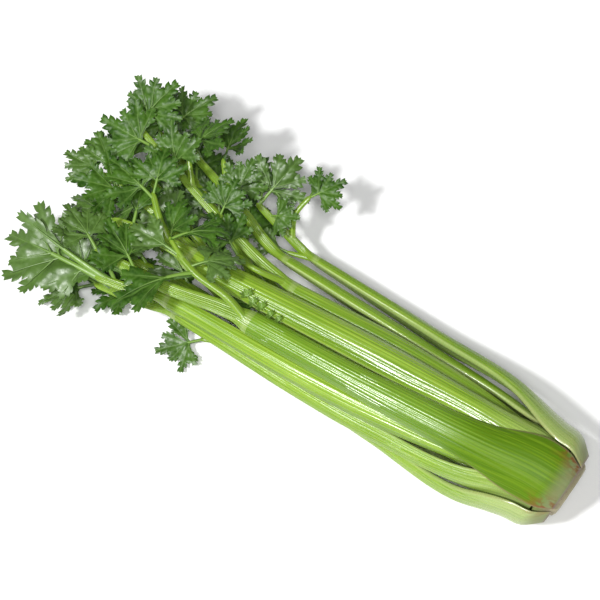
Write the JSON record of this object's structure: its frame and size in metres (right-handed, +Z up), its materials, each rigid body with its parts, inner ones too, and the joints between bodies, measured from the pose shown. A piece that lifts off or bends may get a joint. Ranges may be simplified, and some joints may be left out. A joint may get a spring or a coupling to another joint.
{
  "type": "head of celery",
  "caption": "Whole head of celery lying on its side: ribbed crescent stalks growing from one cut butt, each ending in a branched frond of lobed, toothed leaves.",
  "frame": {"origin": "centre of the bounding box at table level, where the head rests", "axes": "+X along the head towards the cut butt, the leaves are towards -X; +Z up, the head lies on the XY plane; +Y towards the side where the leaves fan out"},
  "size_m": [0.4056, 0.178, 0.0847],
  "materials": {
    "stalk_green": "satin wet skin, fine ribs",
    "stalk_pale": "satin wet skin, paler inner stalks",
    "crown_flesh": "matt cut flesh, browned at the edge",
    "leaf_green": "satin leaf"
  },
  "bodies": {
    "root": {"crown": "crown_flesh", "stalk_01": "stalk_green", "stalk_02": "stalk_green", "stalk_03": "stalk_green", "stalk_04": "stalk_green", "stalk_05": "stalk_green", "stalk_06": "stalk_green", "stalk_07": "stalk_green", "stalk_08": "stalk_green", "stalk_09": "stalk_green", "stalk_10": "stalk_pale", "stalk_11": "stalk_pale", "stalk_12": "stalk_pale", "stalk_13": "stalk_pale", "stalk_14": "stalk_pale", "frond_01": "leaf_green", "frond_02": "leaf_green", "frond_03": "leaf_green", "frond_04": "leaf_green", "frond_05": "leaf_green", "frond_06": "leaf_green", "frond_07": "leaf_green", "frond_08": "leaf_green", "frond_09": "leaf_green", "frond_10": "leaf_green", "frond_11": "leaf_green", "frond_12": "leaf_green", "frond_13": "leaf_green", "frond_14": "leaf_green"}
  },
  "joints": []
}
